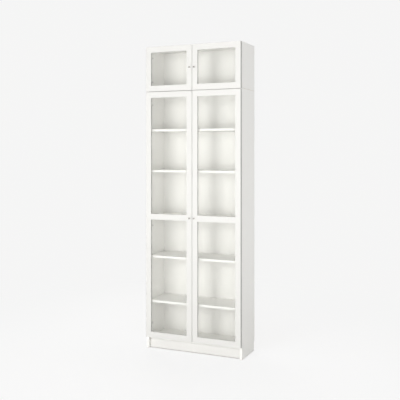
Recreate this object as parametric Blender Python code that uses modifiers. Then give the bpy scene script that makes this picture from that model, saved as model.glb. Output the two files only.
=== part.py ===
"""A tall bookcase of two stacked units with framed glass doors on concealed cup hinges.

Lengths are in metres. +Z is up, the doors face -Y, and the origin lies on the floor under the middle of the whole
bookcase, knobs included. Each door hangs on two pivots in a row: turning its arm pivot and its cup pivot opens it.
"""

import math

import bmesh
import bpy
from mathutils import Matrix, Vector

# Driving sizes of the case
case_width = 0.800
case_depth = 0.280
tall_height = 2.020
upper_height = 0.350

# Boards
side_thickness = 0.020
board_thickness = 0.018
back_thickness = 0.003
board_edge = 0.0008
front_edge_setback = 0.001
floor_height = 0.090
plinth_recess = 0.0225
fixed_shelf_height = 1.038
seat_gap = 0.0003

# Back panels and the grooves they slide in
back_setback = 0.008
groove_depth = 0.006
groove_clearance = 0.0003
groove_end_clearance = 0.001

# Notch over the skirting board, at the foot of each tall side
notch_height = 0.070
notch_depth = 0.015

# Adjustable shelves, each on four pins in the rows of holes
shelf_front_setback = 0.008
shelf_back_clearance = 0.003
pin_row_base = 0.167
pin_pitch = 0.032
pin_radius = 0.0025
pin_length = 0.008
pin_seat = 0.006
pin_row_setback = 0.040

# How high each adjustable shelf is, as a share of the clear height over or under the fixed shelf, topmost first
upper_shelf_shares = (0.687, 0.352)
lower_shelf_shares = (0.661, 0.286)

# Doors
door_gap = 0.002
door_thickness = 0.018
door_edge = 0.001
door_side_reveal = 0.0035
door_middle_gap = 0.003
door_top_reveal = 0.0015
door_stack_gap = 0.004
tall_door_base = 0.0905
rail_width = 0.045
glass_thickness = 0.003
glass_front_setback = 0.0035
glass_clearance = 0.0003
glass_groove_depth = 0.0032

# Knobs
knob_projection = 0.018
knob_radius = 0.0065
knob_crown = 0.0022
knob_rim = 0.0042
knob_neck_radius = 0.0032
knob_neck_length = 0.005
knob_base_radius = 0.0048
knob_from_middle = 0.0185

# Hinge cup, set in the back of the stile
cup_edge_distance = 0.005
cup_bore_radius = 0.0175
cup_bore_depth = 0.0105
cup_bore_wall = 0.0008
cup_clearance = 0.0003
cup_wall = 0.0008
cup_flange_lip = 0.0012
cup_flange_thickness = 0.0007
cup_wing_width = 0.013
cup_wing_reach = 0.026

# Hinge pivots and the link between them
pivot_pin_radius = 0.0008
pivot_clearance = 0.0002
cup_pivot_from_wall = 0.0029
cup_pivot_depth = 0.0006
arm_pivot_from_wall = 0.0039
arm_pivot_depth = 0.004
link_width = 0.006
link_thickness = 0.002
link_eye_wall = 0.0008

# Hinge arm and its mounting plate, on the inner face of the side
arm_width = 0.011
arm_height = 0.0092
arm_length = 0.052
arm_front_setback = 0.004
arm_shoulder = 0.003
arm_tail_chamfer = 0.004
arm_nose_radius = 0.0022
fork_clearance = 0.0004
fork_depth = 0.007
fork_pin_margin = 0.0005
plate_thickness = 0.0026
plate_setback = 0.020
plate_length = 0.034
plate_width = 0.018
plate_screw_setback = 0.037
plate_wing_length = 0.012
plate_wing_reach = 0.023

# Heights of the hinges, from the ends of their door and from the fixed shelf
tall_hinge_end_distance = 0.098
middle_hinge_below_shelf = 0.076
upper_hinge_end_distance = 0.080

# How far a cutter runs past the face it opens, and how far a joined piece sinks into its neighbour
cut_overrun = 0.002
join_sink = 0.0004

# Facets
cup_sides = 20
pin_sides = 12
knob_sides = 20
knob_crown_steps = 4
nose_steps = 6
eye_steps = 8
weld_distance = 0.00001
smooth_angle_degrees = 35

# Places that follow from the sizes above
case_height = tall_height + upper_height
total_depth = case_depth + door_gap + door_thickness + knob_projection
back_y = total_depth / 2
front_y = back_y - case_depth
door_back_y = front_y - door_gap
door_front_y = door_back_y - door_thickness
side_inner_x = case_width / 2 - side_thickness
board_end_x = side_inner_x - seat_gap
board_back_y = back_y - back_setback - back_thickness - seat_gap
board_front_y = front_y + front_edge_setback
door_outer_x = case_width / 2 - door_side_reveal
door_inner_x = door_middle_gap / 2
stile_width = cup_edge_distance + 2 * cup_bore_radius + cup_bore_wall + glass_groove_depth
cup_outer_radius = cup_bore_radius - cup_clearance
cup_inner_radius = cup_outer_radius - cup_wall
cup_centre_inset = cup_edge_distance + cup_bore_radius
cup_pivot_inset = cup_centre_inset - cup_inner_radius + cup_pivot_from_wall
arm_pivot_inset = cup_centre_inset + cup_inner_radius - arm_pivot_from_wall
cup_pivot_y = door_back_y - cup_pivot_depth
arm_pivot_y = door_back_y - arm_pivot_depth
panel_inset = door_outer_x - side_inner_x
pivot_hole_radius = pivot_pin_radius + pivot_clearance
link_eye_radius = pivot_hole_radius + link_eye_wall

bottom_panel_base = floor_height - board_thickness
plinth_front_y = front_y + plinth_recess
fixed_shelf_base = fixed_shelf_height - board_thickness / 2
fixed_shelf_top = fixed_shelf_height + board_thickness / 2
shelf_front_y = front_y + shelf_front_setback
shelf_back_y = back_y - back_setback - back_thickness - shelf_back_clearance

for leftover in list(bpy.data.objects):
    bpy.data.objects.remove(leftover, do_unlink=True)

bookcase = bpy.data.collections.new("bookcase")
cutters = bpy.data.collections.new("cutters")
bpy.context.scene.collection.children.link(bookcase)
bpy.context.scene.collection.children.link(cutters)


def finish(name, colour, roughness, metallic=0.0, alpha=1.0):
    """A plain painted, metal or glass finish."""
    material = bpy.data.materials.new(name)
    material.use_nodes = True
    shader = material.node_tree.nodes["Principled BSDF"]
    shader.inputs["Base Color"].default_value = (*colour, 1.0)
    shader.inputs["Roughness"].default_value = roughness
    shader.inputs["Metallic"].default_value = metallic
    shader.inputs["Alpha"].default_value = alpha
    material.diffuse_color = (*colour, alpha)
    return material


white_foil = finish("white_foil", (0.87, 0.87, 0.85), 0.45)
white_shelf_foil = finish("white_shelf_foil", (0.88, 0.88, 0.86), 0.42)
white_back = finish("white_back", (0.84, 0.84, 0.82), 0.55)
white_lacquer = finish("white_lacquer", (0.90, 0.90, 0.88), 0.35)
clear_glass = finish("clear_glass", (0.93, 0.96, 0.95), 0.02, alpha=0.25)
satin_nickel = finish("satin_nickel", (0.62, 0.61, 0.59), 0.28, metallic=1.0)
nickel_steel = finish("nickel_steel", (0.70, 0.70, 0.69), 0.32, metallic=1.0)
steel_pressing = finish("steel_pressing", (0.58, 0.58, 0.58), 0.38, metallic=1.0)


def world_place(obj):
    """Where an unturned object stands, added up through its parents."""
    if obj is None:
        return Vector((0.0, 0.0, 0.0))
    return obj.location + world_place(obj.parent)


def place_object(obj, place, parent, collection):
    """Links the object and puts its origin at this place, held by its parent."""
    collection.objects.link(obj)
    obj.parent = parent
    obj.location = Vector(place) - world_place(parent)
    return obj


def add_piece(name, mesh, place, material, parent=None):
    """One piece of the bookcase."""
    mesh.materials.clear()
    mesh.materials.append(material)
    return place_object(bpy.data.objects.new(name, mesh), place, parent, bookcase)


def add_tool(name, mesh, place, parent=None):
    """A shape that only cuts or joins."""
    tool = place_object(bpy.data.objects.new(name, mesh), place, parent, cutters)
    tool.hide_render = True
    tool.display_type = "WIRE"
    return tool


def add_pivot(name, place, parent=None):
    """An empty on a joint's axis."""
    pivot = place_object(bpy.data.objects.new(name, None), place, parent, bookcase)
    pivot.empty_display_type = "SINGLE_ARROW"
    pivot.empty_display_size = board_thickness
    return pivot


def box_mesh(name, size):
    """A box of this size about its own centre."""
    shape = bmesh.new()
    bmesh.ops.create_cube(shape, size=1.0)
    bmesh.ops.scale(shape, vec=size, verts=shape.verts)
    mesh = bpy.data.meshes.new(name)
    shape.to_mesh(mesh)
    shape.free()
    return mesh


def rod_mesh(name, radius, length, axis, sides):
    """A round rod about its own centre, along X, Y or Z."""
    shape = bmesh.new()
    bmesh.ops.create_cone(
        shape, cap_ends=True, segments=sides, radius1=radius, radius2=radius, depth=length
    )
    quarter_turn = math.pi / 2
    turns = {
        "X": Matrix.Rotation(quarter_turn, 4, "Y"),
        "Y": Matrix.Rotation(quarter_turn, 4, "X"),
        "Z": Matrix.Identity(4),
    }
    shape.transform(turns[axis])
    mesh = bpy.data.meshes.new(name)
    shape.to_mesh(mesh)
    shape.free()
    return mesh


def add_board(name, low, high, material, edge, parent=None):
    """A board between two corners, with its edges eased."""
    low = Vector(low)
    high = Vector(high)
    board = add_piece(name, box_mesh(name, high - low), (low + high) / 2, material, parent)
    if edge:
        easing = board.modifiers.new("Eased edges", "BEVEL")
        easing.width = edge
        easing.segments = 1
        easing.limit_method = "NONE"
    return board


def add_box_tool(name, low, high, parent=None):
    """A box-shaped tool between two corners."""
    low = Vector(low)
    high = Vector(high)
    return add_tool(name, box_mesh(name, high - low), (low + high) / 2, parent)


def boolean(obj, tool, operation):
    """Cuts the tool's shape away from the object, or joins it on."""
    step = obj.modifiers.new(tool.name, "BOOLEAN")
    step.operation = operation
    step.solver = "EXACT"
    step.object = tool


def finished_mesh(obj, name):
    """The object's shape after all its modifiers, welded, in its own axes."""
    graph = bpy.context.evaluated_depsgraph_get()
    mesh = bpy.data.meshes.new_from_object(obj.evaluated_get(graph))
    mesh.name = name
    shape = bmesh.new()
    shape.from_mesh(mesh)
    bmesh.ops.remove_doubles(shape, verts=shape.verts, dist=weld_distance)
    bmesh.ops.recalc_face_normals(shape, faces=shape.faces)
    shape.to_mesh(mesh)
    shape.free()
    smooth_round_faces(mesh)
    return mesh


def smooth_round_faces(mesh):
    """Shades the round faces smooth and keeps real edges sharp."""
    mesh.shade_smooth()
    mesh.set_sharp_from_angle(angle=math.radians(smooth_angle_degrees))


def turned_object(name, profile, sides):
    """A shape turned about its own Z axis from a profile that runs down its outer side."""
    shape = bmesh.new()
    points = [shape.verts.new((radius, 0.0, height)) for radius, height in profile]
    for first, second in zip(points, points[1:]):
        shape.edges.new((first, second))
    mesh = bpy.data.meshes.new(name)
    shape.to_mesh(mesh)
    shape.free()
    turned = bpy.data.objects.new(name, mesh)
    cutters.objects.link(turned)
    lathe = turned.modifiers.new("Lathe", "SCREW")
    lathe.axis = "Z"
    lathe.steps = sides
    lathe.render_steps = sides
    lathe.use_merge_vertices = True
    lathe.merge_threshold = weld_distance
    lathe.use_smooth_shade = True
    return turned


def outline_mesh(name, points, thickness):
    """A flat outline in X and Y, given a thickness along Z."""
    curve = bpy.data.curves.new(name, "CURVE")
    curve.dimensions = "2D"
    curve.fill_mode = "BOTH"
    curve.extrude = thickness / 2
    spline = curve.splines.new("POLY")
    spline.points.add(len(points) - 1)
    for point, (x, y) in zip(spline.points, points):
        point.co = (x, y, 0.0, 1.0)
    spline.use_cyclic_u = True
    drawn = bpy.data.objects.new(name, curve)
    cutters.objects.link(drawn)
    mesh = finished_mesh(drawn, name)
    bpy.data.objects.remove(drawn)
    return mesh


# Boards of both units
def nearest_holes(shares, low_z, high_z):
    """The heights of the pin holes nearest to these shares of a clear height."""
    wanted = [low_z + share * (high_z - low_z) for share in shares]
    holes = [round((height - pin_row_base) / pin_pitch) for height in wanted]
    return [pin_row_base + hole * pin_pitch for hole in holes]


def add_side(name, side, low_z, high_z):
    """A side board of a unit, grooved for the back panel. side is -1 on the left and 1 on the right."""
    inner_x = side * side_inner_x
    outer_x = side * case_width / 2
    board = add_board(
        name,
        (min(inner_x, outer_x), front_y, low_z),
        (max(inner_x, outer_x), back_y, high_z),
        white_foil,
        board_edge,
    )
    groove_bottom_x = side * (side_inner_x + groove_depth)
    groove_mouth_x = side * (side_inner_x - cut_overrun)
    groove = add_box_tool(
        name + "_groove",
        (
            min(groove_bottom_x, groove_mouth_x),
            back_y - back_setback - back_thickness - groove_clearance,
            low_z - cut_overrun,
        ),
        (
            max(groove_bottom_x, groove_mouth_x),
            back_y - back_setback + groove_clearance,
            high_z + cut_overrun,
        ),
    )
    boolean(board, groove, "DIFFERENCE")
    return board


def add_skirting_notch(board, side):
    """The cut-out at the rear foot of a side, which clears the room's skirting board."""
    middle_x = side * (case_width - side_thickness) / 2
    half_width = side_thickness / 2 + cut_overrun
    notch = add_box_tool(
        board.name + "_notch",
        (middle_x - half_width, back_y - notch_depth, -cut_overrun),
        (middle_x + half_width, back_y + cut_overrun, notch_height),
    )
    boolean(board, notch, "DIFFERENCE")


def add_shelf_pins(board, side):
    """The pins that carry the adjustable shelves, held in the side's holes."""
    rows = (("front", front_y + pin_row_setback), ("rear", board_back_y - pin_row_setback))
    for number, height in enumerate(pin_heights, start=1):
        for row_name, row_y in rows:
            name = f"{board.name}_shelf_{number}_{row_name}_pin"
            centre_x = side * (side_inner_x + (pin_seat - pin_length) / 2)
            mesh = rod_mesh(name, pin_radius, pin_length + pin_seat, "X", pin_sides)
            pin = add_tool(name, mesh, (centre_x, row_y, height))
            boolean(board, pin, "UNION")


def add_fixed_board(name, bottom_z, back_edge_y=board_back_y, front_edge_y=board_front_y):
    """A level board between the two sides."""
    return add_board(
        name,
        (-board_end_x, front_edge_y, bottom_z),
        (board_end_x, back_edge_y, bottom_z + board_thickness),
        white_foil,
        board_edge,
    )


def add_back(name, low_z, high_z):
    """A thin back panel with its long edges in the side grooves."""
    reach_x = side_inner_x + groove_depth - groove_end_clearance
    return add_board(
        name,
        (-reach_x, back_y - back_setback - back_thickness, low_z),
        (reach_x, back_y - back_setback, high_z),
        white_back,
        0.0,
    )


pin_heights = nearest_holes(upper_shelf_shares, fixed_shelf_top, tall_height - board_thickness)
pin_heights += nearest_holes(lower_shelf_shares, floor_height, fixed_shelf_base)
for side, side_name in ((-1, "left"), (1, "right")):
    tall_side = add_side(f"tall_{side_name}_side", side, 0.0, tall_height)
    add_skirting_notch(tall_side, side)
    add_shelf_pins(tall_side, side)
    add_side(f"upper_{side_name}_side", side, tall_height + seat_gap, case_height)

add_fixed_board("tall_top_panel", tall_height - board_thickness)
add_fixed_board("bottom_panel", bottom_panel_base, front_edge_y=plinth_front_y)
add_fixed_board("fixed_shelf", fixed_shelf_base)
add_fixed_board("upper_bottom_panel", tall_height + seat_gap)
add_fixed_board("upper_top_panel", case_height - board_thickness)
add_board(
    "plinth",
    (-board_end_x, plinth_front_y, 0.0),
    (board_end_x, plinth_front_y + board_thickness, bottom_panel_base - seat_gap),
    white_foil,
    board_edge,
)
add_back("tall_back_panel", bottom_panel_base, tall_height - seat_gap)
add_back("upper_back_panel", tall_height + seat_gap, case_height)

for number, pin_height in enumerate(pin_heights, start=1):
    shelf_base = pin_height + pin_radius + seat_gap
    add_board(
        f"adjustable_shelf_{number}",
        (-board_end_x, shelf_front_y, shelf_base),
        (board_end_x, shelf_back_y, shelf_base + board_thickness),
        white_shelf_foil,
        board_edge,
    )


# Hinge pieces, drawn once for each hand. inboard is the way along X from the side to the middle of the bookcase.
def cup_mesh(name, inboard):
    """A pressed cup with its flange, two screw wings and the pivot pin. Its origin is on the back of the stile."""
    floor_depth = cup_bore_depth - seat_gap
    flange_top = seat_gap + cup_flange_thickness
    flange_radius = cup_bore_radius + cup_flange_lip
    profile = (
        (0.0, cup_wall - floor_depth),
        (cup_inner_radius, cup_wall - floor_depth),
        (cup_inner_radius, flange_top),
        (flange_radius, flange_top),
        (flange_radius, seat_gap),
        (cup_outer_radius, seat_gap),
        (cup_outer_radius, -floor_depth),
        (0.0, -floor_depth),
    )
    cup = turned_object(name, profile, cup_sides)
    cup.rotation_euler.x = -math.pi / 2
    wing_start = cup_inner_radius + cup_wall
    for way in (-1, 1):
        near_z = way * wing_start
        far_z = way * cup_wing_reach
        wing = add_box_tool(
            f"{name}_wing_{way}",
            (-cup_wing_width / 2, seat_gap, min(near_z, far_z)),
            (cup_wing_width / 2, flange_top, max(near_z, far_z)),
        )
        boolean(cup, wing, "UNION")
    pin_x = inboard * (cup_pivot_inset - cup_centre_inset)
    pin_reach = math.sqrt(cup_inner_radius**2 - pin_x**2) + cup_wall
    pin = add_tool(
        name + "_pin",
        rod_mesh(name + "_pin", pivot_pin_radius, 2 * pin_reach, "Z", pin_sides),
        (pin_x, -cup_pivot_depth, 0.0),
    )
    boolean(cup, pin, "UNION")
    return upright_mesh(cup, name)


def upright_mesh(obj, name):
    """The finished shape with the object's own rotation taken into the mesh, and its tools cleared away."""
    bpy.context.view_layer.update()
    mesh = finished_mesh(obj, name)
    mesh.transform(obj.matrix_world)
    used = [step.object for step in obj.modifiers if step.type == "BOOLEAN"]
    for spent in [obj, *used]:
        bpy.data.objects.remove(spent)
    return mesh


def eye_arc(centre, radius, link_angle, waist_half):
    """The round end of a link, from one edge of its waist the long way round to the other."""
    start = link_angle + math.asin(waist_half / radius)
    sweep = 2 * math.pi - 2 * math.asin(waist_half / radius)
    angles = [start + sweep * step / eye_steps for step in range(eye_steps + 1)]
    return [(centre[0] + radius * math.cos(a), centre[1] + radius * math.sin(a)) for a in angles]


def link_mesh(name, inboard):
    """The link, an eye at each end. Its origin is on the arm pivot."""
    cup_end = (inboard * (cup_pivot_inset - arm_pivot_inset), cup_pivot_y - arm_pivot_y)
    to_arm = math.atan2(-cup_end[1], -cup_end[0])
    waist_half = link_thickness / 2
    outline = eye_arc(cup_end, link_eye_radius, to_arm, waist_half)
    outline += eye_arc((0.0, 0.0), link_eye_radius, to_arm + math.pi, waist_half)
    link = add_tool(name, outline_mesh(name, outline, link_width), (0.0, 0.0, 0.0))
    for eye_name, eye in (("cup", cup_end), ("arm", (0.0, 0.0))):
        hole_name = f"{name}_{eye_name}_hole"
        hole_length = link_width + 2 * cut_overrun
        hole = add_tool(
            hole_name, rod_mesh(hole_name, pivot_hole_radius, hole_length, "Z", pin_sides), (*eye, 0.0)
        )
        boolean(link, hole, "DIFFERENCE")
    return upright_mesh(link, name)


def tangent_angle(point, radius, turn):
    """Where a straight line from the point touches a circle about the origin."""
    distance = math.hypot(*point)
    return math.atan2(point[1], point[0]) + turn * math.acos(radius / distance)


def arm_mesh(name, inboard):
    """The arm with its forked nose, mounting plate and pivot pin. Its origin is on the arm pivot."""
    plate_face = panel_inset + seat_gap + plate_thickness - arm_pivot_inset
    panel_face = panel_inset + seat_gap - arm_pivot_inset
    arm_top = plate_face + arm_height
    case_edge = front_y - arm_pivot_y
    arm_front = case_edge + arm_front_setback
    arm_back = arm_front + arm_length
    heel = (plate_face - join_sink, arm_front)
    shoulder = (arm_top, arm_front + arm_shoulder)
    nose_start = tangent_angle(heel, arm_nose_radius, 1)
    nose_end = tangent_angle(shoulder, arm_nose_radius, -1) + 2 * math.pi
    nose_sweep = nose_end - nose_start
    nose_angles = [nose_start + nose_sweep * step / nose_steps for step in range(nose_steps + 1)]
    outline = [
        (plate_face - join_sink, arm_back),
        heel,
        *((arm_nose_radius * math.cos(a), arm_nose_radius * math.sin(a)) for a in nose_angles),
        shoulder,
        (arm_top, arm_back - arm_tail_chamfer),
        (arm_top - arm_tail_chamfer, arm_back),
    ]
    outline = [(inboard * x, y) for x, y in outline]
    arm = add_tool(name, outline_mesh(name, outline, arm_width), (0.0, 0.0, 0.0))

    slot_half = link_width / 2 + fork_clearance
    slot_reach = abs(plate_face) + cut_overrun
    slot = add_box_tool(
        name + "_fork",
        (-slot_reach, -arm_nose_radius - cut_overrun, -slot_half),
        (slot_reach, fork_depth, slot_half),
    )
    boolean(arm, slot, "DIFFERENCE")

    plate_x = sorted((inboard * panel_face, inboard * plate_face))
    plate = add_box_tool(
        name + "_plate",
        (plate_x[0], case_edge + plate_setback, -plate_width / 2),
        (plate_x[1], case_edge + plate_setback + plate_length, plate_width / 2),
    )
    wings = add_box_tool(
        name + "_wings",
        (plate_x[0], case_edge + plate_screw_setback - plate_wing_length / 2, -plate_wing_reach),
        (plate_x[1], case_edge + plate_screw_setback + plate_wing_length / 2, plate_wing_reach),
    )
    arm_pin_length = arm_width - 2 * fork_pin_margin
    pin = add_tool(
        name + "_pin",
        rod_mesh(name + "_pin", pivot_pin_radius, arm_pin_length, "Z", pin_sides),
        (0.0, 0.0, 0.0),
    )
    for joined in (plate, wings, pin):
        boolean(arm, joined, "UNION")
    return upright_mesh(arm, name)


def knob_mesh():
    """A small turned knob. Its origin is on the face of the stile, and its axis is its own Z."""
    top = knob_projection
    crown = []
    for step in range(knob_crown_steps + 1):
        angle = math.pi / 2 * step / knob_crown_steps
        crown.append((knob_radius * math.sin(angle), top - knob_crown * (1 - math.cos(angle))))
    rim_base = top - knob_crown - knob_rim
    profile = [
        *crown,
        (knob_radius, rim_base),
        (knob_neck_radius, seat_gap + knob_neck_length),
        (knob_base_radius, seat_gap),
        (0.0, seat_gap),
    ]
    knob = turned_object("knob_turning", profile, knob_sides)
    mesh = finished_mesh(knob, "knob")
    bpy.data.objects.remove(knob)
    return mesh


hinge_meshes = {}
for side, side_name in ((-1, "left"), (1, "right")):
    inboard = -side
    hinge_meshes[side] = {
        "cup": cup_mesh(f"{side_name}_hinge_cup", inboard),
        "link": link_mesh(f"{side_name}_hinge_link", inboard),
        "arm": arm_mesh(f"{side_name}_hinge_arm", inboard),
    }
turned_knob = knob_mesh()


# Doors
def add_windows(frame, name, side, windows, parent):
    """Cuts the glass openings and the groove round each, and fits the panes."""
    low_x, high_x = sorted((side * (door_inner_x + stile_width), side * (door_outer_x - stile_width)))
    glass_front_y = door_front_y + glass_front_setback
    for pane_name, low_z, high_z in windows:
        opening = add_box_tool(
            pane_name + "_opening",
            (low_x, door_front_y - cut_overrun, low_z),
            (high_x, door_back_y + cut_overrun, high_z),
            parent,
        )
        groove = add_box_tool(
            pane_name + "_groove",
            (low_x - glass_groove_depth, glass_front_y - glass_clearance, low_z - glass_groove_depth),
            (
                high_x + glass_groove_depth,
                glass_front_y + glass_thickness + glass_clearance,
                high_z + glass_groove_depth,
            ),
            parent,
        )
        boolean(frame, opening, "DIFFERENCE")
        boolean(frame, groove, "DIFFERENCE")
        held = glass_groove_depth - glass_clearance
        add_board(
            pane_name,
            (low_x - held, glass_front_y, low_z - held),
            (high_x + held, glass_front_y + glass_thickness, high_z + held),
            clear_glass,
            0.0,
            parent,
        )


def add_hinge(frame, name, side, height, link_pivot, cup_pivot):
    """One hinge: its bore in the stile, the cup on the door, the link, and the arm on the side."""
    cup_x = side * (door_outer_x - cup_centre_inset)
    arm_pivot_x = side * (door_outer_x - arm_pivot_inset)
    bore_length = cup_bore_depth + cut_overrun
    bore_mesh = rod_mesh(name + "_bore", cup_bore_radius, bore_length, "Y", cup_sides)
    bore_y = door_back_y + (cut_overrun - cup_bore_depth) / 2
    bore = add_tool(name + "_bore", bore_mesh, (cup_x, bore_y, height), cup_pivot)
    boolean(frame, bore, "DIFFERENCE")
    pieces = hinge_meshes[side]
    add_piece(name + "_cup", pieces["cup"], (cup_x, door_back_y, height), nickel_steel, cup_pivot)
    add_piece(
        name + "_link", pieces["link"], (arm_pivot_x, arm_pivot_y, height), steel_pressing, link_pivot
    )
    add_piece(name + "_arm", pieces["arm"], (arm_pivot_x, arm_pivot_y, height), nickel_steel)


def add_door(name, side, low_z, high_z, windows, hinge_heights):
    """A framed glass door with its knob and hinges, hung on its two pivots."""
    middle_z = (low_z + high_z) / 2
    arm_pivot_x = side * (door_outer_x - arm_pivot_inset)
    cup_pivot_x = side * (door_outer_x - cup_pivot_inset)
    link_pivot = add_pivot(name + "_arm_pivot", (arm_pivot_x, arm_pivot_y, middle_z))
    cup_pivot = add_pivot(name + "_cup_pivot", (cup_pivot_x, cup_pivot_y, middle_z), link_pivot)

    inner_x = side * door_inner_x
    outer_x = side * door_outer_x
    frame = add_board(
        name + "_door_frame",
        (min(inner_x, outer_x), door_front_y, low_z),
        (max(inner_x, outer_x), door_back_y, high_z),
        white_lacquer,
        door_edge,
        cup_pivot,
    )
    add_windows(frame, name, side, windows, cup_pivot)
    for number, height in enumerate(hinge_heights, start=1):
        add_hinge(frame, f"{name}_hinge_{number}", side, height, link_pivot, cup_pivot)

    knob = add_piece(
        name + "_knob",
        turned_knob,
        (side * knob_from_middle, door_front_y, middle_knob_height(low_z, high_z)),
        satin_nickel,
        cup_pivot,
    )
    knob.rotation_euler.x = math.pi / 2


def middle_knob_height(low_z, high_z):
    """A tall door's knob is level with the fixed shelf, and a small door's is half way up."""
    if low_z < fixed_shelf_height < high_z:
        return fixed_shelf_height
    return (low_z + high_z) / 2


tall_door_top = tall_height - door_stack_gap - door_top_reveal
upper_door_base = tall_height - door_top_reveal
upper_door_top = case_height - door_top_reveal
middle_rail_base = fixed_shelf_height - rail_width / 2
middle_rail_top = fixed_shelf_height + rail_width / 2
for side, side_name in ((-1, "left"), (1, "right")):
    add_door(
        f"{side_name}_tall",
        side,
        tall_door_base,
        tall_door_top,
        (
            (f"{side_name}_tall_glass_upper", middle_rail_top, tall_door_top - rail_width),
            (f"{side_name}_tall_glass_lower", tall_door_base + rail_width, middle_rail_base),
        ),
        (
            tall_door_top - tall_hinge_end_distance,
            fixed_shelf_height - middle_hinge_below_shelf,
            tall_door_base + tall_hinge_end_distance,
        ),
    )
    add_door(
        f"{side_name}_upper",
        side,
        upper_door_base,
        upper_door_top,
        ((f"{side_name}_upper_glass", upper_door_base + rail_width, upper_door_top - rail_width),),
        (upper_door_top - upper_hinge_end_distance, upper_door_base + upper_hinge_end_distance),
    )
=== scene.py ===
import math

import bmesh
import bpy
from mathutils import Matrix, Vector


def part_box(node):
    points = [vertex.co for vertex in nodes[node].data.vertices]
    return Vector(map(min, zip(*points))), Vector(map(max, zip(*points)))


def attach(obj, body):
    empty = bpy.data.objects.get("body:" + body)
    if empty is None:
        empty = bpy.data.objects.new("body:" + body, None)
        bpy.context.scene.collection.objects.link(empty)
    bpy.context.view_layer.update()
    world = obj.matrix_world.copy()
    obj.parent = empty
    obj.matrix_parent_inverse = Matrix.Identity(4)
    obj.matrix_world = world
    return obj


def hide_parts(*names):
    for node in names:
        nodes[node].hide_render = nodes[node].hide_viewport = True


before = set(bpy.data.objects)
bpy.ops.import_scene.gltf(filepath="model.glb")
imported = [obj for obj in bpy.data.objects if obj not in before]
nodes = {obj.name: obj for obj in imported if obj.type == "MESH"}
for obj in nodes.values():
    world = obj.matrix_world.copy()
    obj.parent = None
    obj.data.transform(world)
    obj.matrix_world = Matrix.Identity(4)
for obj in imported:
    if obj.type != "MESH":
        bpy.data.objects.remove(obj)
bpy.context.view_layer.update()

scene = bpy.context.scene


# The camera
# It stands to the right of the bookcase, a little over five metres away and at eye height, and looks level.
# The small shift keeps the upright edges upright while the whole height fits the picture.
view = bpy.data.cameras.new("photo_view")
view.sensor_width = 36.0
view.lens = 60.13
view.shift_x = -0.00125
view.shift_y = -0.1221
view_stand = bpy.data.objects.new("photo_view", view)
view_stand.location = (2.1015, -4.7907, 1.5514)
view_stand.rotation_euler = (math.pi / 2, 0.0, 0.4117)
scene.collection.objects.link(view_stand)
scene.camera = view_stand
scene.view_settings.view_transform = "Standard"


# The studio
# A pale room with a little light from all round. Soft lamps stand well in front: a narrow one to the left, a
# wide one to the right and a low strip between. Weaker ones light the sides, the back and the top. The smooth
# white floor fades into the room's white a few steps away, so that no horizon shows.
class Channel:
    """One output of a node, which Python's operators can work on."""

    def __init__(self, finish, output):
        self.finish = finish
        self.output = output

    def maths(self, operation, first, second=0.0):
        return self.finish.node("ShaderNodeMath", {"operation": operation}, {0: first, 1: second})

    def other(self, name):
        """Another output of the same node."""
        return Channel(self.finish, self.output.node.outputs[name])

    def along(self, axis):
        """The X, Y or Z part of a vector, or the red, green or blue part of a colour."""
        return self.finish.node("ShaderNodeSeparateXYZ", values={0: self}, output=axis)

    def __add__(self, other):
        return self.maths("ADD", self, other)

    def __sub__(self, other):
        return self.maths("SUBTRACT", self, other)

    def __rsub__(self, other):
        return self.maths("SUBTRACT", other, self)

    def __mul__(self, other):
        return self.maths("MULTIPLY", self, other)

    def __lt__(self, other):
        return self.maths("LESS_THAN", self, other)

    def __gt__(self, other):
        return self.maths("GREATER_THAN", self, other)

    def __abs__(self):
        return self.maths("ABSOLUTE", self)

    def either(self, other):
        return self.maths("MAXIMUM", self, other)

    def root(self):
        return self.maths("SQRT", self)

    def sine(self):
        return self.maths("SINE", self)

    __radd__ = __add__
    __rmul__ = __mul__


class Finish:
    """The nodes of a material, or of the room's light."""

    def __init__(self, owner, output_kind="ShaderNodeOutputMaterial"):
        self.owner = owner
        owner.use_nodes = True
        self.tree = owner.node_tree
        self.tree.nodes.clear()
        self.end = self.tree.nodes.new(output_kind)

    def node(self, kind, settings=None, values=None, output=0):
        """Adds a node: first its settings, then a value or a link for each socket that is named."""
        made = self.tree.nodes.new(kind)
        for name, value in (settings or {}).items():
            setattr(made, name, value)
        for name, value in (values or {}).items():
            if isinstance(value, Channel):
                self.tree.links.new(value.output, made.inputs[name])
            else:
                made.inputs[name].default_value = value
        return Channel(self, made.outputs[output])

    def place(self):
        """Where a point lies on the bookcase at rest, as a vector."""
        return self.node("ShaderNodeTexCoord", output="Object")

    def facing(self):
        """Which way a face looks, as a vector."""
        return self.node("ShaderNodeTexCoord", output="Normal")

    def stretched(self, spot, stretch):
        return self.node("ShaderNodeVectorMath", {"operation": "MULTIPLY"}, {0: spot, 1: stretch})

    def noise(self, spot, scale, detail=3.0, roughness=0.5):
        values = {"Vector": spot, "Scale": scale, "Detail": detail, "Roughness": roughness}
        return self.node("ShaderNodeTexNoise", values=values)

    def mix(self, share, first, second):
        """A colour between two colours."""
        return self.node("ShaderNodeMix", {"data_type": "RGBA"}, {0: share, 6: first, 7: second}, output=2)

    def bump(self, height):
        """A relief whose height is in metres."""
        return self.node("ShaderNodeBump", values={"Height": height, "Distance": 1.0, "Strength": 1.0})

    def surface(self, **values):
        """The main shader, with underscores for the spaces in its sockets' names."""
        named = {name.replace("_", " "): value for name, value in values.items()}
        return self.node("ShaderNodeBsdfPrincipled", values=named)

    def show(self, shader):
        self.tree.links.new(shader.output, self.end.inputs["Surface"])
        return self.owner


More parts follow.
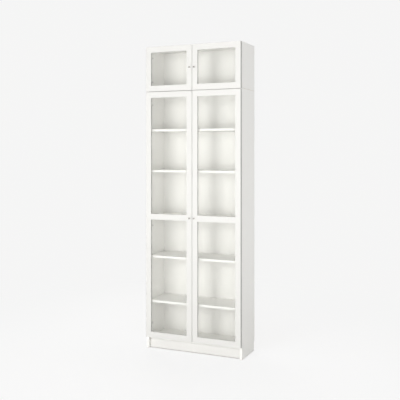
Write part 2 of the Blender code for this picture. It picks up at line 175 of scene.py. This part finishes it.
room_white = (0.916, 0.916, 0.914, 1.0)
room_light = (1.0, 0.998, 0.99, 1.0)
wall_level = 0.10
ceiling_level = 0.50
room = Finish(bpy.data.worlds.new("studio_room"), "ShaderNodeOutputWorld")
scene.world = room.owner
camera_ray = room.node("ShaderNodeLightPath", output="Is Camera Ray")
mirror_ray = camera_ray.other("Is Glossy Ray")
glass_ray = camera_ray.other("Is Transmission Ray")
upward = room.node("ShaderNodeTexCoord", output="Generated").along("Z").either(0.0)
level = upward * upward * ceiling_level + wall_level
even_light = room.node("ShaderNodeBackground", values={"Color": room_light, "Strength": level})
white_wall = room.node("ShaderNodeBackground", values={"Color": room_white, "Strength": 1.0})
seen_ray = camera_ray.either(mirror_ray).either(glass_ray)
room.show(room.node("ShaderNodeMixShader", values={0: seen_ray, 1: even_light, 2: white_wall}))

lamp_white = (1.0, 0.995, 0.98)


def add_lamp(name, place, aim, width, height, energy, mirrored=False):
    """A soft lamp that isn't seen itself, and that metal mirrors only where it is told to."""
    lamp = bpy.data.lights.new(name, "AREA")
    lamp.shape = "RECTANGLE"
    lamp.size = width
    lamp.size_y = height
    lamp.energy = energy
    lamp.color = lamp_white
    stand = bpy.data.objects.new(name, lamp)
    stand.location = place
    stand.rotation_euler = (Vector(aim) - Vector(place)).to_track_quat("-Z", "Y").to_euler()
    stand.visible_camera = False
    stand.visible_glossy = mirrored
    stand.visible_transmission = False
    scene.collection.objects.link(stand)


add_lamp("key_lamp", (-1.35, -5.85, 1.75), (0.0, 0.0, 1.20), 2.2, 3.4, 147.0)
add_lamp("fill_lamp", (3.02, -5.24, 1.75), (0.0, 0.0, 1.20), 4.3, 3.4, 112.0)
add_lamp("side_lamp", (3.90, -0.70, 1.20), (0.3, 0.0, 1.20), 1.3, 2.2, 19.0)
add_lamp("low_lamp", (0.0, -5.60, 0.50), (0.0, 0.0, 1.20), 4.0, 0.9, 16.0)
add_lamp("edge_lamp", (-3.30, -2.90, 1.50), (0.0, 0.0, 1.25), 0.9, 2.4, 14.0, mirrored=True)
add_lamp("back_lamp", (-2.60, 3.40, 1.60), (0.0, 0.0, 1.20), 2.0, 2.2, 40.0)
add_lamp("top_lamp", (0.0, 1.00, 5.20), (0.0, 0.1, 2.37), 2.4, 1.5, 46.0)


def add_piece(name, shape):
    """Turns a finished shape into an object of the scene."""
    bmesh.ops.recalc_face_normals(shape, faces=shape.faces)
    mesh = bpy.data.meshes.new(name)
    shape.to_mesh(mesh)
    shape.free()
    piece = bpy.data.objects.new(name, mesh)
    scene.collection.objects.link(piece)
    return piece


def dress(piece, material):
    """Gives a piece one material all over."""
    piece.data.materials.clear()
    piece.data.materials.append(material)


floor_reach = 14.0
floor_sides = 96
fade_start = 1.0
fade_end = 2.8
floor_lift = 0.77
contact_reach = 0.012
contact_samples = 8
floor_shade = (0.925, 0.925, 0.925, 1.0)
floor_white = (0.935, 0.935, 0.935, 1.0)
full_white = (1.0, 1.0, 1.0, 1.0)
floor_roughness = 0.6
floor_gloss = 0.2
paint_scale = 60.0
shape = bmesh.new()
bmesh.ops.create_circle(shape, cap_ends=True, segments=floor_sides, radius=floor_reach)
floor = add_piece("studio_floor", shape)
painted = Finish(bpy.data.materials.new("floor_paint"))
spot = painted.place()
sideways = spot.along("X")
ahead = spot.along("Y")
distance = (sideways * sideways + ahead * ahead).root()
fade = painted.node(
    "ShaderNodeMapRange",
    {"interpolation_type": "SMOOTHSTEP"},
    {"Value": distance, "From Min": fade_start, "From Max": fade_end},
)
near_floor = painted.surface(
    Base_Color=painted.mix(painted.noise(spot, paint_scale), floor_shade, floor_white),
    Roughness=floor_roughness,
    Specular_IOR_Level=floor_gloss,
)
white_cast = painted.node("ShaderNodeEmission", values={"Color": full_white, "Strength": 1.0})
far_floor = painted.node("ShaderNodeEmission", values={"Color": room_white, "Strength": 1.0})
open_floor = painted.node(
    "ShaderNodeAmbientOcclusion",
    {"samples": contact_samples},
    {"Distance": contact_reach},
    output="AO",
)
lift = painted.node("ShaderNodeLightPath", output="Is Camera Ray") * floor_lift * open_floor
seen_floor = painted.node("ShaderNodeMixShader", values={0: lift, 1: near_floor, 2: white_cast})
faded_floor = painted.node("ShaderNodeMixShader", values={0: fade, 1: seen_floor, 2: far_floor})
dress(floor, painted.show(faded_floor))


# The side boards
# Particle board under a smooth white foil, with a band of the same foil glued over the front edge. The rear
# edge, the foot and the holes are left raw. Two rows of holes take the steel pins that the shelves lie on.
foil_white = (0.938, 0.932, 0.908, 1.0)
foil_shade = (0.928, 0.922, 0.897, 1.0)
seam_grey = (0.66, 0.66, 0.64, 1.0)
raw_dark = (0.36, 0.25, 0.15, 1.0)
raw_light = (0.62, 0.48, 0.33, 1.0)
pin_steel = (0.66, 0.66, 0.65, 1.0)
foil_roughness = 0.40
cloud_roughness = 0.08
seam_roughness = 0.2
raw_roughness = 0.4
pin_smoothness = 0.1
cloud_scale = 7.0
grain_scale = 1400.0
grain_stretch = (1.0, 1.0, 0.25)
grain_height = 0.00002
chip_scale = 420.0
chip_stretch = (1.0, 1.0, 0.45)
chip_share = 0.7
chip_height = 0.0002
dust_scale = 900.0
dust_share = 0.3
edge_band = 0.0014
seam_half_width = 0.00014
seam_depth = 0.00006
seam_strength = 0.7


def band(value, centre, half_width):
    """1 where the value lies this near the centre, and 0 elsewhere."""
    return abs(value - centre) < half_width


def between(value, low, high):
    """1 where the value lies between the two, and 0 elsewhere."""
    return band(value, (low + high) / 2, (high - low) / 2)


def raw_board(finish, spot):
    """The colour and the relief of bare particle board: pressed chips of wood."""
    chips = finish.node(
        "ShaderNodeTexVoronoi",
        values={"Vector": finish.stretched(spot, chip_stretch), "Scale": chip_scale},
        output="Color",
    )
    share = chips.along("X") * chip_share + finish.noise(spot, dust_scale) * dust_share
    return finish.mix(share, raw_dark, raw_light), share


def foil(name, front_y=None, raw_mask=None, metal_mask=None, white=foil_white, shade=foil_shade):
    """White foil. It may have an edge band in front, with a hairline behind it, and raw or metal parts."""
    finish = Finish(bpy.data.materials.new(name))
    spot = finish.place()
    cloud = finish.noise(spot, cloud_scale, detail=4.0)
    grain = finish.noise(finish.stretched(spot, grain_stretch), grain_scale, detail=2.0)
    colour = finish.mix(cloud, shade, white)
    roughness = cloud * cloud_roughness + foil_roughness
    relief = grain * grain_height
    metal = 0.0
    if front_y is not None:
        seam = band(spot.along("Y"), front_y + edge_band, seam_half_width)
        colour = finish.mix(seam * seam_strength, colour, seam_grey)
        roughness = roughness + seam * seam_roughness
        relief = relief - seam * seam_depth
    if raw_mask is not None:
        raw = raw_mask(spot, finish.facing())
        raw_colour, chips = raw_board(finish, spot)
        colour = finish.mix(raw, colour, raw_colour)
        roughness = roughness + raw * raw_roughness
        relief = relief + raw * chips * chip_height
    if metal_mask is not None:
        metal = metal_mask(spot)
        colour = finish.mix(metal, colour, pin_steel)
        roughness = roughness - metal * pin_smoothness
    return finish.show(
        finish.surface(
            Base_Color=colour,
            Roughness=roughness,
            Metallic=metal,
            Normal=finish.bump(relief),
        )
    )


side_inner_x = 0.380
side_outer_x = 0.400
case_front_y = -0.121
case_back_y = 0.159
tall_height = 2.020
full_height = 2.370
side_skin = 0.0003
front_skin = 0.0015
rear_skin = 0.0005
end_skin = 0.001
pin_start = 0.0002
mostly = 0.5


def side_raw(top_z):
    """Bare board on the rear edge, the foot, and the walls of the groove and the holes."""

    def mask(spot, facing):
        height = spot.along("Z")
        in_thickness = between(abs(spot.along("X")), side_inner_x + side_skin, side_outer_x - side_skin)
        in_depth = between(spot.along("Y"), case_front_y + front_skin, case_back_y - rear_skin)
        in_height = between(height, end_skin, top_z - end_skin)
        rear_edge = facing.along("Y") > mostly
        foot = (facing.along("Z") < -mostly) * (height < end_skin)
        return rear_edge.either(foot).either(in_thickness * in_depth * in_height)

    return mask


def pin_metal(spot):
    """The shelf pins are the only part of a side that stands in from its inner face."""
    return abs(spot.along("X")) < side_inner_x - pin_start


hole_base = 0.167
hole_pitch = 0.032
hole_count = 56
hole_radius = 0.0025
hole_depth = 0.010
hole_overrun = 0.001
hole_sides = 14
front_holes_y = -0.081
rear_holes_y = 0.1077
pin_heights = (0.359, 0.711, 1.383, 1.703)
fixed_shelf_height = 1.038
tall_hinge_heights = (1.9165, 0.962, 0.1885)
clear_of_shelf = 0.020
clear_of_hinge = 0.026


def drill(node, side):
    """A copy of a side board with its rows of empty pin holes, none where a pin, shelf or hinge sits."""
    shape = bmesh.new()
    middle_x = side * (side_inner_x + hole_depth / 2 - hole_overrun)
    for row_y in (front_holes_y, rear_holes_y):
        for number in range(hole_count):
            height = hole_base + hole_pitch * number
            near_pin = min(abs(height - pin) for pin in pin_heights) < hole_radius
            near_shelf = abs(height - fixed_shelf_height) < clear_of_shelf
            near_hinge = min(abs(height - hinge) for hinge in tall_hinge_heights) < clear_of_hinge
            if near_pin or near_shelf or (near_hinge and row_y == front_holes_y):
                continue
            middle = Matrix.Translation((middle_x, row_y, height))
            bmesh.ops.create_cone(
                shape,
                cap_ends=True,
                segments=hole_sides,
                radius1=hole_radius,
                radius2=hole_radius,
                depth=hole_depth + 2 * hole_overrun,
                matrix=middle @ Matrix.Rotation(math.pi / 2, 4, "Y"),
            )
    cutter = add_piece(node + "_drill", shape)
    board = bpy.data.objects.new(node + "_drilled", nodes[node].data.copy())
    scene.collection.objects.link(board)
    cut = board.modifiers.new("Pin holes", "BOOLEAN")
    cut.operation = "DIFFERENCE"
    cut.solver = "EXACT"
    cut.object = cutter
    graph = bpy.context.evaluated_depsgraph_get()
    drilled_mesh = bpy.data.meshes.new_from_object(board.evaluated_get(graph))
    board.modifiers.clear()
    board.data = drilled_mesh
    bpy.data.objects.remove(cutter)
    return board


tall_side_foil = foil("white_side_foil", case_front_y, side_raw(tall_height), pin_metal)
upper_side_foil = foil("white_upper_side_foil", case_front_y, side_raw(full_height))
for side, side_name in ((-1, "left"), (1, "right")):
    node = f"tall_{side_name}_side"
    board = drill(node, side)
    dress(board, tall_side_foil)
    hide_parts(node)
    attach(board, "case")
    dress(nodes[f"upper_{side_name}_side"], upper_side_foil)


# The fixed boards
# Top and bottom panels and the middle shelf: particle board under the same foil, banded in front and raw
# behind. Dowels and cam fittings hold them between the sides, and the round cams show underneath.
board_front_y = -0.120
rear_edge_zone = 0.020
boards_with_cams = ("tall_top_panel", "fixed_shelf", "bottom_panel", "upper_top_panel")
fixed_boards = (*boards_with_cams, "upper_bottom_panel")


def board_raw(spot, facing):
    """Bare board on the rear edge."""
    return (facing.along("Y") > mostly) * (spot.along("Y") > case_back_y - rear_edge_zone)


fixed_board_foil = foil("white_board_foil", board_front_y, board_raw)
for node in fixed_boards:
    dress(nodes[node], fixed_board_foil)

head_sides = 16
head_sink = 0.0002
head_shoulder = 0.35
head_crown = 0.62
recess_reach = 0.80
recess_arm = 0.20
recess_taper = 0.80
recess_sink = 0.0001


def cross_points(reach, half_width):
    """The outline of a cross-shaped recess."""
    corner = [(reach, half_width), (half_width, half_width), (half_width, reach)]
    outline = []
    for turn in range(4):
        angle = math.pi / 2 * turn
        cosine = round(math.cos(angle))
        sine = round(math.sin(angle))
        outline += [(x * cosine - y * sine, x * sine + y * cosine) for x, y in corner]
    return outline


def join_rings(shape, lower, upper):
    """Adds the faces between two rings that have equally many corners."""
    for number in range(len(lower)):
        after = (number + 1) % len(lower)
        shape.faces.new((lower[number], lower[after], upper[after], upper[number]))


def add_head(shape, place, out, radius, height):
    """Adds a round head with a cross recess to a mesh: its foot at the place, its top along out."""
    turn = Vector(out).to_track_quat("Z", "Y").to_matrix().to_4x4()
    matrix = Matrix.Translation(Vector(place)) @ turn
    crown_radius = radius * head_crown
    rings = []
    for ring_radius, ring_height in (
        (radius, -head_sink),
        (radius, height * head_shoulder),
        (crown_radius, height),
    ):
        ring = []
        for number in range(head_sides):
            angle = 2 * math.pi * (number + 0.5) / head_sides
            corner = (ring_radius * math.cos(angle), ring_radius * math.sin(angle), ring_height)
            ring.append(shape.verts.new(matrix @ Vector(corner)))
        rings.append(ring)
    recess = cross_points(crown_radius * recess_reach, crown_radius * recess_arm)
    rim = [shape.verts.new(matrix @ Vector((x, y, height))) for x, y in recess]
    bottom = []
    for x, y in recess:
        corner = (x * recess_taper, y * recess_taper, -recess_sink)
        bottom.append(shape.verts.new(matrix @ Vector(corner)))
    shape.faces.new(rings[0][::-1])
    join_rings(shape, rings[0], rings[1])
    join_rings(shape, rings[1], rings[2])
    join_rings(shape, rim, bottom)
    shape.faces.new(bottom)
    edges = []
    for loop in (rings[2], rim):
        for number, corner in enumerate(loop):
            edges.append(shape.edges.get((corner, loop[(number + 1) % len(loop)])))
    bmesh.ops.triangle_fill(shape, use_beauty=True, edges=edges)


def add_heads(name, body, material, heads):
    """One piece that holds many heads, each a place, the way it faces, its radius and its height."""
    shape = bmesh.new()
    for place, out, radius, height in heads:
        add_head(shape, place, out, radius, height)
    piece = add_piece(name, shape)
    dress(piece, material)
    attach(piece, body)


wear_scale = 220.0
wear_roughness = 0.16
worn_share = 0.86
mark_scale = 1600.0
mark_stretch = (1.0, 6.0, 1.0)
mark_height = 0.00002


def plated(name, colour, roughness):
    """Plated steel: clouded gloss and fine marks from the press and the drum."""
    finish = Finish(bpy.data.materials.new(name))
    spot = finish.place()
    cloud = finish.noise(spot, wear_scale, detail=4.0)
    marks = finish.noise(finish.stretched(spot, mark_stretch), mark_scale, detail=2.0)
    dull = [part * worn_share for part in colour]
    return finish.show(
        finish.surface(
            Base_Color=finish.mix(cloud, (*dull, 1.0), (*colour, 1.0)),
            Metallic=1.0,
            Roughness=cloud * wear_roughness + (roughness - wear_roughness / 2),
            Normal=finish.bump(marks * mark_height),
        )
    )


fitting_grey = (0.68, 0.68, 0.67)
fitting_roughness = 0.34
cam_x = 0.3457
cam_rows = (-0.080, 0.110)
cam_radius = 0.0075
cam_stand = 0.0004
tie_x = 0.300
tie_rows = (-0.085, 0.105)
tie_radius = 0.0040
tie_stand = 0.0009
fitting_zinc = plated("zinc_fittings", fitting_grey, fitting_roughness)
cam_heads = []
for node in boards_with_cams:
    under_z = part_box(node)[0].z
    for side in (-1, 1):
        for cam_y in cam_rows:
            cam_heads.append(((side * cam_x, cam_y, under_z), (0, 0, -1), cam_radius, cam_stand))
add_heads("cam_fittings", "case", fitting_zinc, cam_heads)
upper_floor_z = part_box("upper_bottom_panel")[1].z
tie_heads = []
for side in (-1, 1):
    for tie_y in tie_rows:
        tie_heads.append(((side * tie_x, tie_y, upper_floor_z), (0, 0, 1), tie_radius, tie_stand))
add_heads("unit_tie_screws", "case", fitting_zinc, tie_heads)


# The plinth
# A strip of particle board on edge, in white foil written about as dark as the doors' lacquer: the darkening
# is painted shade that offsets the stronger light on its front. It hangs between the sides a hair clear of
# the floor and of both ends, so that the case stands on its sides alone.
shaded_plinth_white = (0.808, 0.802, 0.782, 1.0)
shaded_plinth_cloud = (0.798, 0.792, 0.772, 1.0)
floor_gap = 0.0034
end_gap = 0.0009
edge_round = 0.0006
squarely = 0.9
plinth_low, plinth_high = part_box("plinth")
plinth_low += Vector((end_gap, 0.0, floor_gap))
plinth_high -= Vector((end_gap, 0.0, 0.0))
shape = bmesh.new()
outline = []
for y, z in (
    (plinth_low.y, plinth_low.z + edge_round),
    (plinth_low.y + edge_round, plinth_low.z),
    (plinth_high.y, plinth_low.z),
    (plinth_high.y, plinth_high.z),
    (plinth_low.y + edge_round, plinth_high.z),
    (plinth_low.y, plinth_high.z - edge_round),
):
    outline.append([shape.verts.new((x, y, z)) for x in (plinth_low.x, plinth_high.x)])
for number, (left, right) in enumerate(outline):
    after_left, after_right = outline[(number + 1) % len(outline)]
    shape.faces.new((left, right, after_right, after_left))
shape.faces.new([left for left, right in outline])
shape.faces.new([right for left, right in outline])
plinth_strip = add_piece("plinth_strip", shape)


def plinth_raw(spot, facing):
    """Bare board on the sawn ends, the foot and the back of the strip."""
    sawn_end = abs(facing.along("X")) > mostly
    foot = facing.along("Z") < -squarely
    back = facing.along("Y") > mostly
    return sawn_end.either(foot).either(back)


plinth_foil = foil("white_plinth_foil", raw_mask=plinth_raw, white=shaded_plinth_white, shade=shaded_plinth_cloud)
dress(plinth_strip, plinth_foil)
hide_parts("plinth")
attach(plinth_strip, "case")


# The adjustable shelves
# Particle board wrapped in white foil on every side. They lie loose on four steel pins each and can be lifted
# out to other holes.
shelf_front_y = -0.113
shelf_foil = foil("white_shelf_wrap", shelf_front_y)
for number in (1, 2, 3, 4):
    dress(nodes[f"adjustable_shelf_{number}"], shelf_foil)


# The back panels
# Thin fibreboard, painted white on the side that shows and bare brown behind. They slide down the grooves in
# the sides and are nailed to the rear edges of the fixed boards.
panel_white = (0.938, 0.932, 0.908, 1.0)
panel_shade = (0.928, 0.922, 0.897, 1.0)
fibre_dark = (0.30, 0.205, 0.125, 1.0)
fibre_light = (0.44, 0.32, 0.21, 1.0)
fibre_roughness = 0.78
paint_roughness = 0.52
paint_cloud_scale = 5.0
fibre_scale = 520.0
fibre_stretch = (1.0, 1.0, 0.2)
fibre_share = 0.75
fibre_height = 0.00012
stipple_scale = 1100.0
stipple_height = 0.00003
panel = Finish(bpy.data.materials.new("painted_fibreboard"))
spot = panel.place()
front = panel.facing().along("Y") < -mostly
cloud = panel.noise(spot, paint_cloud_scale, detail=4.0)
fibres = panel.noise(panel.stretched(spot, fibre_stretch), fibre_scale, detail=5.0, roughness=0.7)
stipple = panel.noise(spot, stipple_scale, detail=2.0)
paint = panel.mix(cloud, panel_shade, panel_white)
fibre = panel.mix(fibres * fibre_share + cloud * (1 - fibre_share), fibre_dark, fibre_light)
panel_surface = panel.surface(
    Base_Color=panel.mix(front, fibre, paint),
    Roughness=fibre_roughness - front * (fibre_roughness - paint_roughness),
    Normal=panel.bump(stipple * stipple_height + fibres * (1 - front) * fibre_height),
)
panel.show(panel_surface)
for node in ("tall_back_panel", "upper_back_panel"):
    dress(nodes[node], panel.owner)

nail_pitch = 0.165
nail_radius = 0.0023
nail_stand = 0.0005
nail_shoulder = 0.4
nail_crown = 0.7
nail_sides = 12


def add_nail(shape, place):
    """Adds a flat nail head with a rounded rim, facing +Y."""
    rings = []
    for share, lift in ((1.0, -head_sink), (1.0, nail_stand * nail_shoulder), (nail_crown, nail_stand)):
        ring = []
        for number in range(nail_sides):
            angle = 2 * math.pi * number / nail_sides
            radius = nail_radius * share
            offset = Vector((radius * math.sin(angle), lift, radius * math.cos(angle)))
            ring.append(shape.verts.new(place + offset))
        rings.append(ring)
    join_rings(shape, rings[0], rings[1])
    join_rings(shape, rings[1], rings[2])
    shape.faces.new(rings[0])
    shape.faces.new(rings[2])


panel_back_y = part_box("tall_back_panel")[1].y
shape = bmesh.new()
for node in fixed_boards:
    board_low, board_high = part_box(node)
    for number in (-2, -1, 0, 1, 2):
        place = Vector((number * nail_pitch, panel_back_y, (board_low.z + board_high.z) / 2))
        add_nail(shape, place)
back_nails = add_piece("back_nails", shape)
dress(back_nails, fitting_zinc)
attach(back_nails, "case")


# The door frames
# Stiles and rails of fibreboard under white lacquer, glued into one frame. The stiles run the full height and
# the rails butt against them, so a hairline shows where each rail ends. The grey on their outer edges and on
# the edges round the panes isn't the lacquer's own: it stands in for a thin line of shade there.
# The lacquer's white is written darker than the case's foil. The darkening is painted shade that offsets the
# stronger light on the door fronts.
shaded_lacquer_white = (0.766, 0.761, 0.742, 1.0)
shaded_lacquer_cloud = (0.756, 0.751, 0.732, 1.0)
window_edge_painted_shade = (0.46, 0.457, 0.447, 1.0)
outer_edge_painted_shade = (0.30, 0.298, 0.290, 1.0)
lacquer_roughness = 0.30
coat_share = 0.15
coat_roughness = 0.12
lacquer_cloud_scale = 6.0
peel_scale = 700.0
peel_height = 0.00002
joint_half_width = 0.00013
joint_depth = 0.00006
joint_strength = 0.6
edge_on = 0.7
middle_gap_x = 0.010
outer_edge_x = 0.390
rail_ends = (0.0455, 0.3525)
# Each pair is the lower and the upper edge of a rail, from the floor up.
rails = ((0.0905, 0.1355), (1.0155, 1.0605), (1.9695, 2.0145), (2.0185, 2.0635), (2.3235, 2.3685))
lacquer = Finish(bpy.data.materials.new("white_lacquer_frame"))
spot = lacquer.place()
off_middle = abs(spot.along("X"))
height = spot.along("Z")
on_rail = between(height, *rails[0])
for low_z, high_z in rails[1:]:
    on_rail = on_rail.either(between(height, low_z, high_z))
inner_joint, outer_joint = [band(off_middle, end_x, joint_half_width) for end_x in rail_ends]
joint = inner_joint.either(outer_joint) * on_rail
cloud = lacquer.noise(spot, lacquer_cloud_scale, detail=4.0)
orange_peel = lacquer.noise(spot, peel_scale, detail=2.0)
# Faces that look sideways, away from the middle gap, get painted shade: mid grey round the panes and a darker
# grey on the outer edges.
on_edge = (abs(lacquer.facing().along("X")) > edge_on) * (off_middle > middle_gap_x)
edge_painted_shade = lacquer.mix(off_middle > outer_edge_x, window_edge_painted_shade, outer_edge_painted_shade)
lacquered = lacquer.mix(on_edge, lacquer.mix(cloud, shaded_lacquer_cloud, shaded_lacquer_white), edge_painted_shade)
lacquer_surface = lacquer.surface(
    Base_Color=lacquer.mix(joint * joint_strength, lacquered, seam_grey),
    Roughness=cloud * cloud_roughness + lacquer_roughness,
    Normal=lacquer.bump(orange_peel * peel_height - joint * joint_depth),
    Coat_Roughness=coat_roughness,
    Coat_Weight=coat_share,
)
lacquer.show(lacquer_surface)
doors = ("left_tall", "left_upper", "right_tall", "right_upper")
for door in doors:
    dress(nodes[door + "_door_frame"], lacquer.owner)


# The panes
# Clear float glass, held in the groove round each opening of the frames. Light from the lamps passes through
# it, and its faces mirror a little of the room.
glass_tint = (0.990, 0.993, 0.988, 1.0)
glass_ripple_tint = (0.994, 0.996, 0.992, 1.0)
passing_tint = (0.985, 0.987, 0.982, 1.0)
glass_index = 1.5
ripple_scale = 2.5
glass = Finish(bpy.data.materials.new("clear_float_glass"))
ripple = glass.noise(glass.place(), ripple_scale, detail=1.0)
clear = glass.surface(
    Base_Color=glass.mix(ripple, glass_tint, glass_ripple_tint),
    Roughness=0.0,
    IOR=glass_index,
    Transmission_Weight=1.0,
)
light_ray = glass.node("ShaderNodeLightPath", output="Is Shadow Ray")
passing = light_ray.either(light_ray.other("Is Diffuse Ray"))
open_air = glass.node("ShaderNodeBsdfTransparent", values={"Color": passing_tint})
glass.show(glass.node("ShaderNodeMixShader", values={0: passing, 1: clear, 2: open_air}))
for side_name in ("left", "right"):
    for pane in ("tall_glass_upper", "tall_glass_lower", "upper_glass"):
        dress(nodes[f"{side_name}_{pane}"], glass.owner)


# The knobs
# Small turned knobs of nickel-plated steel, each held by one screw through the stile. Fine rings from the
# lathe run round the front.
knob_dull = (0.57, 0.558, 0.532, 1.0)
knob_bright = (0.60, 0.588, 0.562, 1.0)
knob_roughness = 0.24
polish_roughness = 0.05
polish_scale = 160.0
# The rings are a sine wave that runs out from the axis, so many radians to the metre.
lathe_turn = 18000.0
lathe_height = 0.000004
knob_x = 0.0185
knob_heights = {"tall": 1.038, "upper": 2.1935}
above_tall_knobs = 1.6
knob_foot_y = -0.1413
knob_sides = 40
knob_sharp_angle = math.radians(50)
# Each pair is a radius of the knob and how far it stands out from the knob's foot, from the tip inwards.
knob_profile = (
    (0.0, 0.0177),
    (0.0024, 0.01762),
    (0.0046, 0.01715),
    (0.0058, 0.0162),
    (0.0064, 0.0149),
    (0.0065, 0.0134),
    (0.0063, 0.0122),
    (0.0055, 0.0107),
    (0.0042, 0.0088),
    (0.0034, 0.0068),
    (0.0032, 0.0050),
    (0.0034, 0.0030),
    (0.0040, 0.0014),
    (0.0047, 0.0006),
    (0.0048, 0.0),
    (0.0, 0.0),
)
nickel = Finish(bpy.data.materials.new("satin_nickel_turned"))
spot = nickel.place()
height = spot.along("Z")
upper_knob_rise = knob_heights["upper"] - knob_heights["tall"]
off_x = abs(spot.along("X")) - knob_x
off_z = height - knob_heights["tall"] - (height > above_tall_knobs) * upper_knob_rise
from_axis = (off_x * off_x + off_z * off_z).root()
lathe_rings = (from_axis * lathe_turn).sine()
cloud = nickel.noise(spot, polish_scale, detail=2.0)
nickel.show(
    nickel.surface(
        Base_Color=nickel.mix(cloud, knob_dull, knob_bright),
        Metallic=1.0,
        Roughness=cloud * polish_roughness + knob_roughness,
        Normal=nickel.bump(lathe_rings * lathe_height),
    )
)


def turned_knob(name, centre):
    """A knob turned about its axis, which stands out of the door towards -Y."""
    shape = bmesh.new()
    rings = []
    for radius, lift in knob_profile:
        ring = []
        for number in range(knob_sides if radius else 1):
            angle = 2 * math.pi * number / knob_sides
            offset = Vector((radius * math.cos(angle), -lift, radius * math.sin(angle)))
            ring.append(shape.verts.new(centre + offset))
        rings.append(ring)
    for upper, lower in zip(rings, rings[1:]):
        for number in range(knob_sides):
            after = (number + 1) % knob_sides
            corners = [
                upper[number % len(upper)],
                upper[after % len(upper)],
                lower[after % len(lower)],
                lower[number % len(lower)],
            ]
            distinct = list(dict.fromkeys(corners))
            shape.faces.new(distinct)
    knob = add_piece(name, shape)
    knob.data.shade_smooth()
    knob.data.set_sharp_from_angle(angle=knob_sharp_angle)
    return knob


door_back_y = -0.123
screw_grey = (0.72, 0.71, 0.69)
screw_roughness = 0.26
knob_screw_radius = 0.0038
knob_screw_stand = 0.0014
screw_nickel = plated("nickel_screws", screw_grey, screw_roughness)
for door in doors:
    side_name, unit = door.split("_")
    x = -knob_x if side_name == "left" else knob_x
    z = knob_heights[unit]
    knob = turned_knob(door + "_turned_knob", Vector((x, knob_foot_y, z)))
    dress(knob, nickel.owner)
    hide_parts(door + "_knob")
    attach(knob, door + "_door")
    knob_screw = ((x, door_back_y, z), (0, 1, 0), knob_screw_radius, knob_screw_stand)
    add_heads(door + "_knob_screw", door + "_door", screw_nickel, [knob_screw])


# The hinges
# Pressed steel, nickel plated. The cup is let into the stile and screwed through its two wings. The arm clips
# to a plate that two screws hold to the side, and two more screws on the arm set the door's place.
hinge_grey = (0.80, 0.80, 0.79)
hinge_roughness = 0.32
link_grey = (0.55, 0.55, 0.55)
link_roughness = 0.36
hinge_heights = {"tall": tall_hinge_heights, "upper": (2.2885, 2.0985)}
cup_x = 0.374
cup_wing_y = -0.122
cup_screw_spread = 0.0225
cup_screw_radius = 0.0031
cup_screw_stand = 0.0008
plate_face_x = 0.3771
plate_screw_y = -0.084
plate_screw_spread = 0.016
plate_screw_radius = 0.0034
plate_screw_stand = 0.0012
arm_face_x = 0.3679
arm_screw_rows = (-0.101, -0.079)
arm_screw_radius = 0.0029
arm_screw_stand = 0.0010
hinge_nickel = plated("nickel_hinges", hinge_grey, hinge_roughness)
link_steel = plated("steel_links", link_grey, link_roughness)
case_screws = []
for door in doors:
    side_name, unit = door.split("_")
    side = -1 if side_name == "left" else 1
    inward = (-side, 0, 0)
    cup_screws = []
    for number, height in enumerate(hinge_heights[unit], start=1):
        hinge = f"{door}_hinge_{number}"
        dress(nodes[hinge + "_cup"], hinge_nickel)
        dress(nodes[hinge + "_arm"], hinge_nickel)
        dress(nodes[hinge + "_link"], link_steel)
        for way in (-1, 1):
            wing_place = (side * cup_x, cup_wing_y, height + way * cup_screw_spread)
            cup_screws.append((wing_place, (0, 1, 0), cup_screw_radius, cup_screw_stand))
            plate_place = (side * plate_face_x, plate_screw_y, height + way * plate_screw_spread)
            case_screws.append((plate_place, inward, plate_screw_radius, plate_screw_stand))
        for screw_y in arm_screw_rows:
            arm_place = (side * arm_face_x, screw_y, height)
            case_screws.append((arm_place, inward, arm_screw_radius, arm_screw_stand))
    add_heads(door + "_cup_screws", door + "_door", screw_nickel, cup_screws)
add_heads("hinge_plate_screws", "case", screw_nickel, case_screws)
